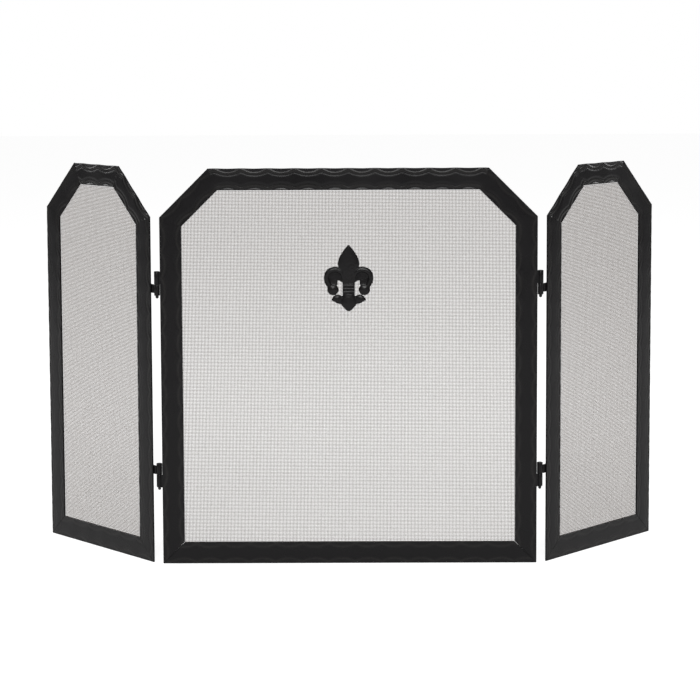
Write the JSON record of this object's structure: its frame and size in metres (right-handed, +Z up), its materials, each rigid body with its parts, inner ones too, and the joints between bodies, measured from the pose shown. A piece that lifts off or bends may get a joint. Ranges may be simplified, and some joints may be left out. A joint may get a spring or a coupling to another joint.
{
  "type": "fireplace screen",
  "caption": "Folding fireplace screen of wire-mesh panels in hammered flat-bar frames, joined by pin hinges, with a cast fleur-de-lis on the centre panel.",
  "frame": {"origin": "middle of the centre panel's bottom edge, halfway through the thickness of its bar, on the floor", "axes": "+X to the right along the centre panel seen from the room, +Y away from the room towards the fire, +Z up"},
  "size_m": [0.9912, 0.2016, 0.62],
  "materials": {
    "frame_bar": "hammered steel flat bar in satin black heat-proof paint",
    "clamp_strip": "smooth steel strip in satin black paint",
    "wire_mesh": "plain-woven steel wire in thin black paint",
    "rivet": "black steel rivets and nuts",
    "ornament": "cast iron, semi-gloss black paint",
    "hinge": "steel hinge knuckles in satin black paint",
    "hinge_pin": "steel pins, black"
  },
  "bodies": {
    "centre_panel": {"centre_bottom_rail": "frame_bar", "centre_right_stile": "frame_bar", "centre_right_corner_bar": "frame_bar", "centre_top_rail": "frame_bar", "centre_left_corner_bar": "frame_bar", "centre_left_stile": "frame_bar", "centre_bottom_rail_clamp_strip": "clamp_strip", "centre_right_stile_clamp_strip": "clamp_strip", "centre_right_corner_clamp_strip": "clamp_strip", "centre_top_rail_clamp_strip": "clamp_strip", "centre_left_corner_clamp_strip": "clamp_strip", "centre_left_stile_clamp_strip": "clamp_strip", "centre_wire_mesh": "wire_mesh", "centre_rivets": "rivet", "ornament": "ornament", "ornament_back_plate": "clamp_strip", "ornament_nuts": "rivet", "left_upper_hinge_barrel": "hinge", "left_upper_hinge_pin": "hinge_pin", "left_lower_hinge_barrel": "hinge", "left_lower_hinge_pin": "hinge_pin", "right_upper_hinge_barrel": "hinge", "right_upper_hinge_pin": "hinge_pin", "right_lower_hinge_barrel": "hinge", "right_lower_hinge_pin": "hinge_pin"},
    "left_panel": {"left_bottom_rail": "frame_bar", "left_outer_stile": "frame_bar", "left_outer_corner_bar": "frame_bar", "left_top_rail": "frame_bar", "left_hinge_corner_bar": "frame_bar", "left_hinge_stile": "frame_bar", "left_bottom_rail_clamp_strip": "clamp_strip", "left_outer_stile_clamp_strip": "clamp_strip", "left_outer_corner_clamp_strip": "clamp_strip", "left_top_rail_clamp_strip": "clamp_strip", "left_hinge_corner_clamp_strip": "clamp_strip", "left_hinge_stile_clamp_strip": "clamp_strip", "left_wire_mesh": "wire_mesh", "left_rivets": "rivet", "left_upper_hinge_eye": "hinge", "left_lower_hinge_eye": "hinge"},
    "right_panel": {"right_bottom_rail": "frame_bar", "right_outer_stile": "frame_bar", "right_outer_corner_bar": "frame_bar", "right_top_rail": "frame_bar", "right_hinge_corner_bar": "frame_bar", "right_hinge_stile": "frame_bar", "right_bottom_rail_clamp_strip": "clamp_strip", "right_outer_stile_clamp_strip": "clamp_strip", "right_outer_corner_clamp_strip": "clamp_strip", "right_top_rail_clamp_strip": "clamp_strip", "right_hinge_corner_clamp_strip": "clamp_strip", "right_hinge_stile_clamp_strip": "clamp_strip", "right_wire_mesh": "wire_mesh", "right_rivets": "rivet", "right_upper_hinge_eye": "hinge", "right_lower_hinge_eye": "hinge"}
  },
  "joints": [
    {"name": "left_panel_hinge", "type": "hinge", "parent": "centre_panel", "child": "left_panel", "pos_m": [-0.2972, 0.006, 0], "axis": [0, 0, -1], "range_deg": [-115, 135]},
    {"name": "right_panel_hinge", "type": "hinge", "parent": "centre_panel", "child": "right_panel", "pos_m": [0.2972, 0.006, 0], "axis": [0, 0, 1], "range_deg": [-115, 135]}
  ]
}
